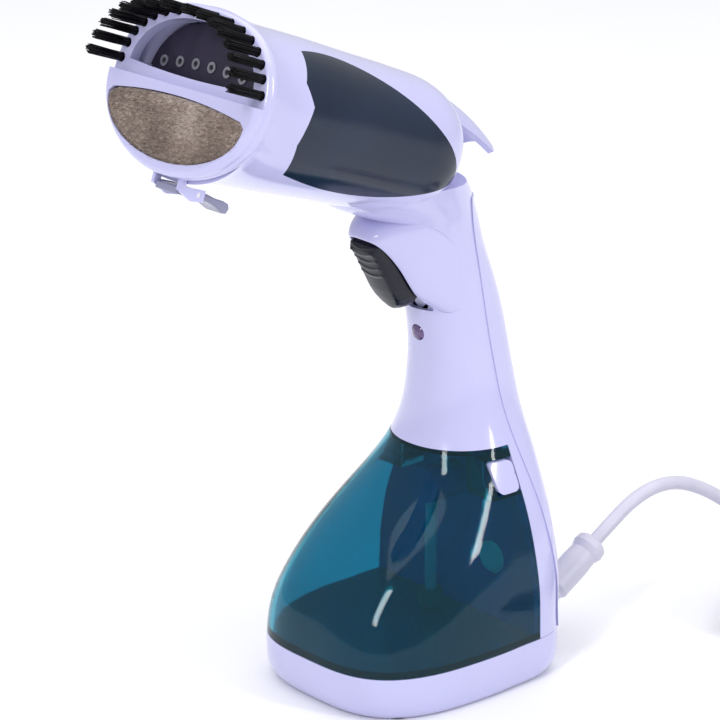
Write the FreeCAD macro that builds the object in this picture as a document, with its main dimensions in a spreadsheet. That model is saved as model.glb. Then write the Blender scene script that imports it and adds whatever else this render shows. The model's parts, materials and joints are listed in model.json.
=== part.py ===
import FreeCAD, Part
import math
import os

import Sketcher
from FreeCAD import Placement, Rotation, Vector

# Handheld garment steamer. Frame: X to the object's left and right, -Y towards the nozzle,
# +Z up. The origin is the middle of the ground rectangle under the base, on the surface that
# the rubber feet rest on. All sizes are in millimetres and live in the sheet "Sizes".

os.makedirs("parts", exist_ok=True)
doc = FreeCAD.newDocument("Steamer")
sheet = doc.addObject("Spreadsheet::Sheet", "Sizes")

DIMENSIONS = {
    # shell
    "wall": 2.4, "rim_level": 19.0, "neck_level": 99.0, "seam_gap": 0.3,
    "tank_back": 31.0, "cover_proud": 0.6, "half_cut": 75.0,
    # head axis, pitched up towards the nozzle
    "head_y": -111.0, "head_z": 266.0, "head_pitch": 20.0,
    # rubber feet and base plate
    "foot_radius": 5.0, "foot_x": 33.0, "foot_front": -34.0, "foot_rear": 40.0, "foot_thick": 1.2,
    "plate_thick": 2.2, "screw_sunk": 0.2,
    "screw_shank": 1.4, "screw_head": 2.7, "screw_head_height": 1.8, "screw_reach": 9.0,
    "boss_radius": 3.4, "base_screw_x": 30.0, "base_screw_front": -18.0, "base_screw_rear": 26.0,
    # water tank
    "tank_wall": 2.2, "port_level": 78.0, "port_radius": 4.0, "port_bore": 2.4,
    "seal_thick": 1.5, "tube_radius": 2.6, "tube_bore": 1.5,
    "filler_radius": 7.0, "filler_level": 48.0, "filler_x": 22.0,
    # tank release buttons
    "button_y": 24.5, "button_z": 88.0, "button_wide": 11.0, "button_tall": 12.0,
    # trigger
    "pivot_y": -1.5, "pivot_z": 190.5, "pin_radius": 1.5, "pin_clear": 0.06, "trigger_half": 8.0,
    "plunger_level": 181.9, "plunger_radius": 1.3, "latch_pin": 1.0,
    # pilot lamp
    "lamp_level": 146.0, "lamp_radius": 3.5,
    # pump
    "motor_radius": 10.0, "motor_tall": 28.0, "pump_y": 27.0, "pump_base": 103.0,
    "pump_wide": 22.0, "pump_tall": 11.0, "hose_radius": 2.0,
    # boiler in the head
    "block_wide": 44.0, "block_tall": 26.0, "block_front": 22.0, "block_long": 74.0,
    "element_radius": 3.2,
    # nozzle plate and steam outlets
    "plate_depth": 9.0, "nozzle_plate_thick": 2.6, "outlet_pitch": 9.1, "outlet_radius": 2.2,
    "outlet_bore": 1.1, "outlet_height": 11.0, "outlet_sag": 2.0,
    # brush attachment
    "ring_half_width": 45.0, "ring_half_height": 33.0, "ring_depth": 4.0, "ring_front": 0.6,
    "pad_front": 4.0, "window_half": 36.5, "window_foot": 3.5, "window_head": 27.0,
    "pad_half": 39.5, "pad_top": -2.0, "pad_low": -27.0, "pad_pile": 6.4,
    "tuft_radius": 1.9, "tuft_out": 18.0, "tuft_half_width": 41.2, "tuft_half_height": 29.6,
    # cord
    "cord_radius": 3.0, "exit_x": 22.0, "exit_y": 54.0, "exit_z": 16.0, "exit_tilt": 31.0,
    "relief_long": 42.0, "relief_bore": 4.6, "coil_x": 86.0, "coil_y": 166.0,
    "coil_mean": 34.5, "coil_band": 6.4, "coil_tall": 25.4,
}
# Level, front, widest place, rear, half width, front power, rear power of each section.
BODY_STATIONS = [
    (0.0, -49.0, 16.0, 49.0, 46.0, 3.1, 4.0),
    (5.0, -53.0, 18.0, 53.0, 49.0, 3.2, 4.0),
    (19.0, -54.0, 18.0, 54.0, 49.5, 3.2, 4.0),
    (35.0, -51.5, 18.0, 54.0, 49.0, 3.0, 4.0),
    (50.0, -43.5, 20.0, 54.0, 47.0, 2.7, 4.0),
    (62.0, -32.0, 22.0, 54.0, 44.0, 2.6, 3.8),
    (75.0, -17.0, 25.0, 53.7, 39.5, 2.4, 3.6),
    (88.0, -3.8, 29.0, 53.3, 33.5, 2.2, 3.3),
    (98.5, 2.5, 31.0, 53.0, 28.5, 2.1, 3.0),
    (110.0, 6.0, 30.0, 52.0, 24.0, 2.0, 2.8),
    (125.0, 7.6, 29.0, 50.5, 20.5, 2.0, 2.6),
    (150.0, 6.0, 27.0, 46.0, 18.0, 2.0, 2.4),
    (170.0, 2.5, 21.0, 39.5, 18.0, 2.0, 2.3),
    (182.0, -1.0, 17.0, 34.8, 18.3, 2.0, 2.2),
    (190.0, -6.5, 14.0, 32.0, 19.0, 2.0, 2.2),
    (198.0, -18.0, 10.0, 28.5, 21.0, 2.0, 2.2),
    (207.0, -38.0, 4.0, 24.0, 25.0, 2.0, 2.2),
    (214.0, -46.0, 0.0, 18.0, 28.0, 2.0, 2.2),
]
# Distance behind the head's reference point, half width, half height, power.
HEAD_STATIONS = [
    (4.3, 41.0, 33.2, 2.2),
    (14.0, 38.6, 31.4, 2.2),
    (30.0, 37.6, 30.8, 2.2),
    (60.0, 36.0, 30.0, 2.2),
    (90.0, 34.0, 29.0, 2.2),
    (110.0, 32.5, 27.5, 2.2),
    (119.0, 29.5, 24.0, 2.2),
    (125.0, 24.0, 18.0, 2.2),
    (127.5, 17.0, 12.0, 2.2),
]
STATION_NAMES = ("level", "front", "middle", "rear", "half", "power_front", "power_rear")
HEAD_NAMES = ("back", "half", "height", "power")


def fill_sheet():
    """Write every driving dimension to a cell with its name beside it."""
    row = 1
    for name, value in DIMENSIONS.items():
        put_cell(row, name, value)
        row += 1
    for prefix, names, table in (
        ("body", STATION_NAMES, BODY_STATIONS),
        ("head", HEAD_NAMES, HEAD_STATIONS),
    ):
        for index, station in enumerate(table):
            for name, value in zip(names, station):
                put_cell(row, f"{prefix}_{index}_{name}", value)
                row += 1
    doc.recompute()


def put_cell(row, name, value):
    sheet.set(f"A{row}", name)
    sheet.set(f"B{row}", str(value))
    sheet.setAlias(f"B{row}", name)


def size(name):
    return float(getattr(sheet, name))


fill_sheet()
HEAD = Placement(Vector(0, size("head_y"), size("head_z")),
                 Rotation(Vector(1, 0, 0), -size("head_pitch")))
NODES = []


# ---------------------------------------------------------------- document helpers

def keep(obj, label):
    """Make an object one of the sub-parts that are written out."""
    obj.Label = label
    NODES.append(obj)
    return obj


def bind(obj, **expressions):
    for prop, text in expressions.items():
        obj.setExpression(prop, text)
    return obj


def feature(label, shape, placement=None):
    """A sub-part whose free-form shape comes from Part's own functions."""
    obj = doc.addObject("Part::Feature", label)
    obj.Shape = shape
    if placement is not None:
        obj.Placement = placement
    return keep(obj, label)


def box(name, length, width, height, placement):
    """A Part box; its sizes are expressions on the sheet or plain text numbers."""
    obj = doc.addObject("Part::Box", name)
    bind(obj, Length=str(length), Width=str(width), Height=str(height))
    obj.Placement = placement
    return obj


def cylinder(name, radius, height, placement):
    obj = doc.addObject("Part::Cylinder", name)
    bind(obj, Radius=str(radius), Height=str(height))
    obj.Placement = placement
    return obj


def joined(label, kind, *objs):
    """A boolean sub-part: Part::Cut of two objects or Part::MultiFuse of several."""
    obj = doc.addObject(kind, label)
    if kind == "Part::Cut":
        obj.Base, obj.Tool = objs
    else:
        obj.Shapes = list(objs)
    return obj


def origin_plane(body, role):
    return next(item for item in body.Origin.OriginFeatures if item.Role == role)


def new_sketch(body, name, role="XY_Plane"):
    sketch = body.newObject("Sketcher::SketchObject", name)
    sketch.AttachmentSupport = (origin_plane(body, role), "")
    sketch.MapMode = "FlatFace"
    return sketch


def circle(sketch, radius, x=0.0, y=0.0):
    """A circle whose radius is an expression on the sheet."""
    index = sketch.addGeometry(Part.Circle(Vector(x, y, 0), Vector(0, 0, 1), 1.0))
    number = sketch.addConstraint(Sketcher.Constraint("Radius", index, 1.0))
    sketch.setExpression(f"Constraints[{number}]", str(radius))
    return index


def profile(sketch, edges):
    """Lines and arcs of a closed outline, joined end to start."""
    for edge in edges:
        sketch.addGeometry(edge)
    count = len(edges)
    for index in range(count):
        following = (index + 1) % count
        sketch.addConstraint(Sketcher.Constraint("Coincident", index, 2, following, 1))


def line(start, end):
    return Part.LineSegment(Vector(*start, 0), Vector(*end, 0))


def polygon(points):
    return [line(point, points[(i + 1) % len(points)]) for i, point in enumerate(points)]


def pad(body, sketch, length, both=False, name="Pad", reverse=False):
    feat = body.newObject("PartDesign::Pad", name)
    feat.Profile = sketch
    feat.setExpression("Length", str(length))
    feat.Midplane = both
    feat.Reversed = reverse
    return feat


def pocket(body, sketch, length, both=False, name="Pocket", reverse=False):
    feat = body.newObject("PartDesign::Pocket", name)
    feat.Profile = sketch
    feat.setExpression("Length", str(length))
    feat.Midplane = both
    feat.Reversed = reverse
    return feat


def dress(body, kind, edges, amount, name):
    """A PartDesign fillet or chamfer on the edges of the body's last feature."""
    doc.recompute()
    base = body.Tip
    feat = body.newObject(f"PartDesign::{kind}", name)
    feat.Base = (base, edges)
    if kind == "Fillet":
        feat.Radius = amount
    else:
        feat.Size = amount
    return feat


def turned(label, points, placement):
    """A revolved piece: its half outline is given as radius and height pairs."""
    body = doc.addObject("PartDesign::Body", label)
    sketch = new_sketch(body, label + "_outline", "XZ_Plane")
    profile(sketch, polygon(points))
    feat = body.newObject("PartDesign::Revolution", label + "_turn")
    feat.Profile = sketch
    feat.ReferenceAxis = (sketch, ["V_Axis"])
    feat.Angle = 360
    body.Placement = placement
    return keep(body, label)


def padded_disc(label, radius, length, placement, bore=None):
    """A round plate or tube made as one pad."""
    body = doc.addObject("PartDesign::Body", label)
    sketch = new_sketch(body, label + "_outline")
    circle(sketch, radius)
    if bore is not None:
        circle(sketch, bore)
    pad(body, sketch, length, name=label + "_pad")
    body.Placement = placement
    return keep(body, label)


def at(x, y, z, axis=None, angle=0.0):
    rotation = Rotation() if axis is None else Rotation(Vector(*axis), angle)
    return Placement(Vector(x, y, z), rotation)


def in_head(x, back, up, axis=None, angle=0.0):
    """A place in the head: across, behind the reference point and above its axis."""
    return HEAD.multiply(at(x, back, up, axis, angle))


FORWARD = ((1, 0, 0), 90)      # turns +Z to -Y, towards the nozzle
BACKWARD = ((1, 0, 0), -90)    # turns +Z to +Y, towards the rear


# ---------------------------------------------------------------- free-form helpers

def superoval(half, low, high, low_power, high_power, count=36):
    """Points of an oval: half across, low below and high above its widest place."""
    points = []
    for step in range(count):
        angle = 2 * math.pi * step / count
        c, s = math.cos(angle), math.sin(angle)
        power = high_power if s >= 0 else low_power
        reach = high if s >= 0 else low
        across = half * math.copysign(abs(c) ** (2 / power), c)
        along = reach * math.copysign(abs(s) ** (2 / power), s)
        points.append((across, along))
    return points


def smooth_wire(points):
    curve = Part.BSplineCurve()
    curve.interpolate(points, PeriodicFlag=True)
    return Part.Wire([curve.toShape()])


def station(prefix, index, names):
    return [size(f"{prefix}_{index}_{name}") for name in names]


def body_loft(inset, lowest=0):
    """The bell and neck as one solid, drawn in from the outer skin by inset."""
    wires = []
    for index in range(lowest, len(BODY_STATIONS)):
        level, front, middle, rear, half, low, high = station("body", index, STATION_NAMES)
        oval = superoval(half - inset, middle - front - inset, rear - middle - inset, low, high)
        wires.append(smooth_wire([Vector(x, middle + y, level) for x, y in oval]))
    return Part.makeLoft(wires, True, False)


def head_loft(inset, last=None):
    """The head barrel as one solid in its own frame, drawn in by inset."""
    wires = []
    for index in range(len(HEAD_STATIONS))[:last]:
        back, half, height, power = station("head", index, HEAD_NAMES)
        oval = superoval(half - inset, height - inset, height - inset, power, power)
        wires.append(smooth_wire([Vector(x, back, z) for x, z in oval]))
    solid = Part.makeLoft(wires, True, False)
    solid.Placement = HEAD
    return solid


def side_prism(edges, half=None):
    """A side-view outline in Y and Z carried across the whole width."""
    reach = half or size("half_cut")
    face = Part.Face(Part.Wire(edges))
    face.translate(Vector(-reach, 0, 0))
    return face.extrude(Vector(2 * reach, 0, 0))


def yz(y, z):
    return Vector(0, y, z)


def chain(points):
    return [Part.LineSegment(a, b).toShape() for a, b in zip(points, points[1:])]


def spline(points):
    curve = Part.BSplineCurve()
    curve.interpolate(points)
    return curve.toShape()


def slab(x0, x1, y0, y1, z0, z1):
    return Part.makeBox(x1 - x0, y1 - y0, z1 - z0, Vector(x0, y0, z0))


def rod(radius, start, end):
    axis = end - start
    return Part.makeCylinder(radius, axis.Length, start, axis)


def rounded_path(points):
    """Straight runs joined by tangent arcs, each as large as its two runs allow."""
    edges = []
    radii = []
    last = points[0]
    for before, corner, after in zip(points, points[1:], points[2:]):
        run_in, run_out = corner - before, after - corner
        turn = run_in.getAngle(run_out)
        radius = 0.45 * min(run_in.Length, run_out.Length) / math.tan(turn / 2)
        setback = radius * math.tan(turn / 2)
        start = corner - run_in.normalize() * setback
        end = corner + run_out.normalize() * setback
        inward = (run_out - run_in).normalize()
        middle = corner + inward * (radius / math.cos(turn / 2) - radius)
        edges.append(Part.LineSegment(last, start).toShape())
        edges.append(Part.Arc(start, middle, end).toShape())
        radii.append(radius)
        last = end
    edges.append(Part.LineSegment(last, points[-1]).toShape())
    return Part.Wire(edges), radii


def tube_along(points, radius, bore=0.0):
    """A round tube along a rounded path."""
    path, radii = rounded_path(points)
    direction = points[1] - points[0]
    solid = path.makePipeShell([ring_wire(radius, points[0], direction)], True, True)
    if bore:
        solid = solid.cut(path.makePipeShell([ring_wire(bore, points[0], direction)], True, True))
    return solid, path.Length, radii


def ring_wire(radius, centre, axis):
    return Part.Wire([Part.Circle(centre, axis, radius).toShape()])


def one_solid(shape):
    """The largest solid of a boolean result, so that no loose sliver stays."""
    return max(shape.Solids, key=lambda solid: solid.Volume)


def screw_solid(length, axis_start, axis_dir, extra=0.0):
    """A pan-head screw; extra grows it into a clearance cutter."""
    head = Part.makeCylinder(size("screw_head") + extra, size("screw_head_height"),
                             axis_start, axis_dir)
    shank = Part.makeCylinder(size("screw_shank") + extra, length, axis_start, axis_dir)
    return head.fuse(shank)


# ---------------------------------------------------------------- side-view outlines

PANEL_TOP = [yz(-75, 280), yz(-55, 273.5), yz(-38, 264), yz(-21, 250.5), yz(-9, 237),
             yz(-2, 225.5), yz(0, 219)]
PANEL_BOTTOM = [yz(-3, 215.6), yz(-15, 214.8), yz(-36, 216.6), yz(-59, 222.6), yz(-76, 229.5),
                yz(-90, 236.5)]
PANEL_FRONT = [yz(-90, 236.5), yz(-89, 249), yz(-80.5, 262), yz(-82, 271), yz(-75, 280)]
CREASE = [yz(46, 18), yz(43, 50), yz(38.5, 80), yz(34, 110), yz(30, 140), yz(25.5, 165),
          yz(20.5, 188), yz(15, 206)]
COLLAR_TOP = yz(-58, 326)
COLLAR_FOOT = yz(-105, 196)
AROUND_FRONT = -160
AROUND_REAR = 90
AROUND_TOP = 330


def panel_region():
    rear_tip = Part.Arc(PANEL_TOP[-1], yz(-0.6, 216.7), PANEL_BOTTOM[0]).toShape()
    return side_prism([spline(PANEL_TOP), rear_tip, spline(PANEL_BOTTOM)] + chain(PANEL_FRONT))


def collar_region():
    corner = [PANEL_FRONT[-1], COLLAR_TOP, yz(AROUND_FRONT, AROUND_TOP), yz(AROUND_FRONT, 196),
              COLLAR_FOOT, PANEL_FRONT[0]]
    return side_prism(chain(corner) + chain(PANEL_FRONT))


def top_region():
    """Above the side panels, down the head's rear to the top of the rear cover."""
    rear_tip = Part.Arc(PANEL_TOP[-1], yz(-0.6, 216.7), PANEL_BOTTOM[0]).toShape()
    rest = [PANEL_BOTTOM[0], CREASE[-1], yz(AROUND_REAR, 206), yz(AROUND_REAR, AROUND_TOP),
            COLLAR_TOP, PANEL_TOP[0]]
    return side_prism([spline(PANEL_TOP), rear_tip] + chain(rest))


def front_region():
    """Chin, hood, neck front and the sides of the spine behind the tank."""
    spine_front = size("tank_back") + size("seam_gap")
    rim = size("rim_level") + 0.2
    neck = size("neck_level")
    rest = [PANEL_BOTTOM[-1], COLLAR_FOOT, yz(COLLAR_FOOT.y, neck), yz(spine_front, neck),
            yz(spine_front, rim), yz(CREASE[0].y, rim), CREASE[0]]
    clipped = spline(CREASE)
    outline = [spline(PANEL_BOTTOM)] + chain(rest[:5]) + chain([rest[4], CREASE[0]])
    return side_prism(outline + [clipped] + chain([CREASE[-1], PANEL_BOTTOM[0]]))


def rear_region():
    rest = [CREASE[-1], yz(AROUND_REAR, 206), yz(AROUND_REAR, 18), CREASE[0]]
    return side_prism([spline(CREASE)] + chain(rest))


# ---------------------------------------------------------------- casing

wall = size("wall")
gap = size("seam_gap")
rim_level = size("rim_level")
neck_level = size("neck_level")
tank_back = size("tank_back")

body_outer = body_loft(0)
body_inner = body_loft(wall)
outer = body_outer.fuse(head_loft(0))
neck_hollow = body_inner.common(slab(-60, 60, -90, 90, -1, 206))
duct = slab(-12, 12, -9, 7, 200, 209).fuse(slab(-12, 12, -9, 4, 208, 217))
duct = duct.fuse(slab(-12, 12, -9, 1.5, 216, 223))
inner = neck_hollow.fuse(head_loft(wall, -2)).fuse(duct)
shell = outer.cut(inner)


def base_screw_places():
    across = size("base_screw_x")
    return [(side * across, along) for side in (-1, 1)
            for along in (size("base_screw_front"), size("base_screw_rear"))]


def foot_places():
    across = size("foot_x")
    return [("left" if side < 0 else "right", end, side * across, along)
            for side in (-1, 1)
            for end, along in (("front", size("foot_front")), ("rear", size("foot_rear")))]


def cover_screw_places():
    """Level and outer skin of the two screws that hold the rear cover."""
    return [(46.0, 54.0), (160.0, 43.2)]


def make_base_housing():
    below = slab(-60, 60, -60, 60, -1, rim_level)
    deck_low = rim_level - wall
    hollow = body_inner.common(slab(-60, 60, -60, 60, -1, deck_low))
    rear_well = body_inner.common(slab(-60, 60, tank_back + gap + wall, 60, -1, rim_level + 1))
    solid = body_outer.common(below).cut(hollow).cut(rear_well)
    plate_top = size("plate_thick")
    for x, y in base_screw_places():
        solid = solid.fuse(rod(size("boss_radius"), Vector(x, y, plate_top),
                               Vector(x, y, deck_low + 0.5)))
    for x, y in base_screw_places():
        hole = rod(size("screw_shank"), Vector(x, y, 0), Vector(x, y, size("screw_reach") + 0.5))
        solid = solid.cut(hole)
    for _, _, x, y in foot_places():
        solid = solid.cut(foot_well(x, y))
    bore_start, bore_end = relief_line()
    solid = solid.cut(rod(size("relief_bore"), bore_start, bore_end))
    return one_solid(solid)


def foot_well(x, y):
    return rod(size("foot_radius"), Vector(x, y, -1), Vector(x, y, size("foot_thick")))


def relief_line():
    """The strain relief's axis, from inside the rear wall to its tip."""
    tilt = math.radians(size("exit_tilt"))
    mouth = Vector(size("exit_x"), size("exit_y"), size("exit_z"))
    along = Vector(0, math.cos(tilt), math.sin(tilt))
    return mouth - along * 9.0, mouth + along * size("relief_long")


def make_base_plate():
    plate = body_loft(wall + 0.15).common(slab(-60, 60, -60, 60, 0, size("plate_thick")))
    for x, y in base_screw_places():
        head_place = Vector(x, y, size("screw_sunk"))
        plate = plate.cut(screw_solid(4, head_place, Vector(0, 0, 1), 0.12))
        plate = plate.cut(rod(size("screw_head") + 0.12, Vector(x, y, -1), head_place))
    for _, _, x, y in foot_places():
        plate = plate.cut(foot_well(x, y))
    return one_solid(plate)


def make_front_housing():
    above_rim = slab(-60, 60, AROUND_FRONT, AROUND_REAR, rim_level + 0.2, AROUND_TOP)
    solid = shell.common(front_region()).common(above_rim)
    deck_front = tank_back + gap
    floor = body_inner.common(slab(-60, 60, -60, deck_front + 1, neck_level, neck_level + wall))
    web = body_inner.common(slab(-60, 60, deck_front, deck_front + wall,
                                 rim_level + 0.2, neck_level + 1))
    solid = solid.fuse(floor).fuse(web)
    for level, skin in cover_screw_places():
        start = deck_front + 1 if level < neck_level else 5.0
        boss = rod(size("boss_radius"), Vector(0, start, level), Vector(0, skin - 4.2, level))
        solid = solid.fuse(boss)
        pilot = rod(size("screw_shank"), Vector(0, skin - 13.5, level), Vector(0, skin, level))
        solid = solid.cut(pilot)
    pivot = Vector(0, size("pivot_y"), size("pivot_z"))
    for side in (-1, 1):
        near, far = pivot + Vector(8.9 * side, 0, 0), pivot + Vector(13.0 * side, 0, 0)
        solid = solid.fuse(rod(3.4, near, far).common(outer))
    solid = solid.cut(slab(-8.5, 8.5, -16, 8, 156.8, 194.5))
    solid = solid.cut(rod(size("pin_radius"), pivot - Vector(11.2, 0, 0),
                          pivot + Vector(11.2, 0, 0)))
    lamp = size("lamp_level")
    solid = solid.cut(rod(size("lamp_radius"), Vector(0, 0, lamp), Vector(0, 12, lamp)))
    port = size("port_level")
    solid = solid.cut(rod(size("port_radius"), Vector(0, 28, port), Vector(0, 36, port)))
    return one_solid(solid)


def make_rear_cover():
    proud = body_loft(-size("cover_proud")).cut(body_inner)
    solid = proud.common(rear_region()).common(slab(-60, 60, 0, 60, rim_level + 0.2, 205.8))
    for level, skin in cover_screw_places():
        head_place = Vector(0, skin - size("screw_sunk"), level)
        cutter = screw_solid(20, head_place, Vector(0, -1, 0), 0.12)
        well = rod(size("screw_head") + 0.12, head_place, Vector(0, skin + 4, level))
        solid = solid.cut(cutter).cut(well)
    bore_start, bore_end = relief_line()
    solid = solid.cut(rod(size("relief_bore"), bore_start, bore_end))
    return one_solid(solid)


def crescent(centre, along, half_angle, radius, thick):
    """A gutter-shaped section whose crown touches centre, square to along."""
    normal = Vector(0, -along.z, along.y)
    hub = centre - normal * radius
    turn = math.radians(half_angle)

    def rim(reach, angle):
        return hub + Vector(math.sin(angle) * reach, 0, 0) + normal * (math.cos(angle) * reach)

    deep = radius - thick
    edges = [
        Part.Arc(rim(radius, -turn), rim(radius, 0), rim(radius, turn)).toShape(),
        Part.LineSegment(rim(radius, turn), rim(deep, turn)).toShape(),
        Part.Arc(rim(deep, turn), rim(deep, 0), rim(deep, -turn)).toShape(),
        Part.LineSegment(rim(deep, -turn), rim(radius, -turn)).toShape(),
    ]
    return Part.Wire(edges)


HOOK_LINE = [((-24, 264.0), 24, 60, 15.0), ((-4, 255.6), 27, 62, 15.0), ((12, 247.0), 32, 64, 15.0),
             ((28, 235.6), 39, 62, 14.5), ((42, 221.4), 52, 50, 14.0)]


def make_top_cover():
    """Top of the head between the side panels, with the hanging hook behind it."""
    solid = shell.common(top_region())
    sections = []
    for (y, z), droop, half_angle, radius in HOOK_LINE:
        slope = math.radians(droop)
        along = Vector(0, math.cos(slope), -math.sin(slope))
        sections.append(crescent(Vector(0, y, z), along, half_angle, radius, 2.6))
    hook = Part.makeLoft(sections, True, False).cut(inner)
    hook = hook.common(top_region())
    return one_solid(solid.fuse(hook))


def make_side_panels():
    """One glossy cheek each side, a seam's width inside its opening."""
    both = shell.common(panel_region())
    halves = {}
    for label, x0, x1 in (("side_panel_left", -60, -9), ("side_panel_right", 9, 60)):
        halves[label] = one_solid(both.common(slab(x0, x1, -120, 60, 180, 330)))
    return halves


def make_collar():
    return one_solid(shell.common(collar_region()))


feature("base_housing", make_base_housing())
feature("base_plate", make_base_plate())
feature("front_housing", make_front_housing())
feature("rear_cover", make_rear_cover())
feature("top_cover", make_top_cover())
for panel_label, panel_shape in make_side_panels().items():
    feature(panel_label, panel_shape)
feature("head_collar", make_collar())

for side_name, end_name, foot_x, foot_y in foot_places():
    padded_disc(f"foot_{end_name}_{side_name}", "Sizes.foot_radius", "Sizes.foot_thick",
                at(foot_x, foot_y, 0))

feature("base_screws", Part.makeCompound([
    screw_solid(size("screw_reach"), Vector(x, y, size("screw_sunk")), Vector(0, 0, 1))
    for x, y in base_screw_places()]))
feature("cover_screws", Part.makeCompound([
    screw_solid(12, Vector(0, skin - size("screw_sunk"), level), Vector(0, -1, 0))
    for level, skin in cover_screw_places()]))


# ---------------------------------------------------------------- water tank

def tank_envelope(inset, rear, low, high):
    return body_loft(inset).common(slab(-60, 60, -60, rear, low, high))


def button_pocket(side, grow=0.0):
    """The corner recess that holds one release button."""
    near, far = 21.5 - grow, 60.0
    x0, x1 = (near, far) if side > 0 else (-far, -near)
    half_y = size("button_wide") / 2 + 0.6 + grow
    half_z = size("button_tall") / 2 + 0.6 + grow
    y, z = size("button_y"), size("button_z")
    return slab(x0, x1, y - half_y, y + half_y + 1, z - half_z, z + half_z)


tank_low = rim_level + gap
tank_high = neck_level - gap
tank_wall = size("tank_wall")
port_level = size("port_level")
TUBE_Y = 14.0
COLLAR_FRONT = 11.0


def make_tank():
    solid = tank_envelope(0, tank_back, tank_low, tank_high)
    cavity = tank_envelope(tank_wall, tank_back + 1, tank_low + tank_wall, tank_high - tank_wall)
    for side in (-1, 1):
        cavity = cavity.cut(button_pocket(side, 2.0))
    solid = solid.cut(cavity)
    for side in (-1, 1):
        solid = solid.cut(button_pocket(side))
    return one_solid(solid)


def make_tank_back():
    """The welded rear wall, with the outlet collar and the filling hole."""
    plate = tank_envelope(tank_wall + 0.02, tank_back, tank_low + tank_wall + 0.02,
                          tank_high - tank_wall - 0.02)
    plate = plate.common(slab(-60, 60, tank_back - tank_wall, tank_back, 0, 120))
    for side in (-1, 1):
        plate = plate.cut(button_pocket(side, 2.02))
    plate = plate.fuse(rod(7.6, Vector(0, COLLAR_FRONT, port_level), Vector(0, 30, port_level)))
    plate = plate.cut(rod(size("port_radius") + 0.5, Vector(0, COLLAR_FRONT + 1.6, port_level),
                          Vector(0, 32, port_level)))
    plate = plate.cut(rod(6.3, Vector(0, 29.3, port_level), Vector(0, 32, port_level)))
    plate = plate.cut(rod(size("tube_radius"), Vector(0, TUBE_Y + 1.4, port_level - 9),
                          Vector(0, TUBE_Y + 1.4, port_level - 3)))
    filler = size("filler_radius")
    x, z = size("filler_x"), size("filler_level")
    plate = plate.cut(rod(filler, Vector(x, 20, z), Vector(x, 32, z)))
    return one_solid(plate)


feature("tank_shell", make_tank())
feature("tank_back_wall", make_tank_back())
padded_disc("suction_tube", "Sizes.tube_radius", "Sizes.port_level - 31.5",
            at(0, TUBE_Y + 1.4, 26.5), "Sizes.tube_bore")
filter_low = tank_low + tank_wall + 0.4
turned("suction_filter", [(2.65, filter_low + 3.0), (2.65, filter_low + 9), (4.4, filter_low + 9),
                          (5.0, filter_low + 8), (5.0, filter_low + 1), (4.2, filter_low),
                          (0.8, filter_low), (0.8, filter_low + 3.0)], at(0, TUBE_Y + 1.4, 0))
padded_disc("port_seal", 6.28, "Sizes.seal_thick", at(0, 29.4, port_level, *BACKWARD), 4.08)
turned("filler_plug", [(0, 0), (6.98, 0), (6.98, 2.2), (5.6, 3.4), (0, 3.4)],
       at(size("filler_x"), tank_back - 0.1, size("filler_level"), *FORWARD))


def make_button(side):
    """A release button that follows the tank's outside, bored for its spring."""
    half_y, half_z = size("button_wide") / 2, size("button_tall") / 2
    y, z = size("button_y"), size("button_z")
    x0, x1 = (27.2, 60) if side > 0 else (-60, -27.2)
    blank = slab(x0, x1, y - half_y, y + half_y, z - half_z, z + half_z)
    blank = blank.makeFillet(2.6, [edge for edge in blank.Edges if is_across(edge)])
    solid = blank.common(body_loft(-0.9))
    bore = rod(2.7, Vector(27.0 * side, y, z), Vector(31.4 * side, y, z))
    return one_solid(solid.cut(bore))


def is_across(edge):
    start, end = edge.Vertexes[0].Point, edge.Vertexes[-1].Point
    return abs(start.y - end.y) < 0.01 and abs(start.z - end.z) < 0.01


def coil_spring(radius, wire, pitch, height, placement):
    helix = Part.makeHelix(pitch, height, radius)
    circle_wire = ring_wire(wire, Vector(radius, 0, 0), Vector(0, 1, 0))
    spring = Part.Wire(helix.Edges).makePipeShell([circle_wire], True, True)
    spring.Placement = placement
    return spring


def button_spring(side):
    return coil_spring(2.0, 0.3, 1.3, 6.5, at(22.2 * side, size("button_y"), size("button_z"),
                                              (0, 1, 0), 90 * side))


feature("release_button_left", make_button(-1))
feature("release_button_right", make_button(1))
feature("button_springs", Part.makeCompound([button_spring(-1), button_spring(1)]))


# ---------------------------------------------------------------- water path

turned("water_port", [(size("port_bore"), -6.8), (4.0, -6.8), (4.0, 2.45), (6.4, 2.45), (6.4, 3.8),
                      (3.0, 3.8), (3.0, 9.0), (size("port_bore"), 9.0)],
       at(0, tank_back + gap, port_level, *BACKWARD))

pump_y = size("pump_y")
pump_base = size("pump_base")
pump_head = box("pump_head_block", "Sizes.pump_wide", "Sizes.pump_wide", "Sizes.pump_tall",
                at(-size("pump_wide") / 2, pump_y - size("pump_wide") / 2, pump_base))
stub_in = cylinder("pump_stub_in", 1.4, 5, at(0, pump_y + 10, pump_base + 5, *BACKWARD))
stub_out = cylinder("pump_stub_out", 1.4, 5, at(9, pump_y - 9, pump_base + 10))
keep(joined("pump_head", "Part::MultiFuse", pump_head, stub_in, stub_out), "pump_head")
padded_disc("pump_motor", "Sizes.motor_radius", "Sizes.motor_tall",
            at(0, pump_y, pump_base + size("pump_tall") + 0.2))


def hose(points, label, radius, bore=1.42):
    solid, _, _ = tube_along([Vector(*point) for point in points], radius, bore)
    feature(label, solid)


hose([(0, 40.4, port_level), (0, 46.5, port_level), (0, 47.5, 92), (0, 46, pump_base + 5),
      (0, 42.2, pump_base + 5)], "inlet_hose", 2.4)
hose([(9, 18, 118.2), (9.6, 18, 128), (11, 19.4, 148), (10.6, 17, 172), (8.6, 9, 195),
      (5.6, -1.2, 211), (3.2, -3.6, 222.5), (0.8, -5.4, 230.6), (0, -10.8, 234.3),
      (0, -19, 237.3)],
     "outlet_hose", size("hose_radius"))


# ---------------------------------------------------------------- boiler and nozzle in the head

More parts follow.
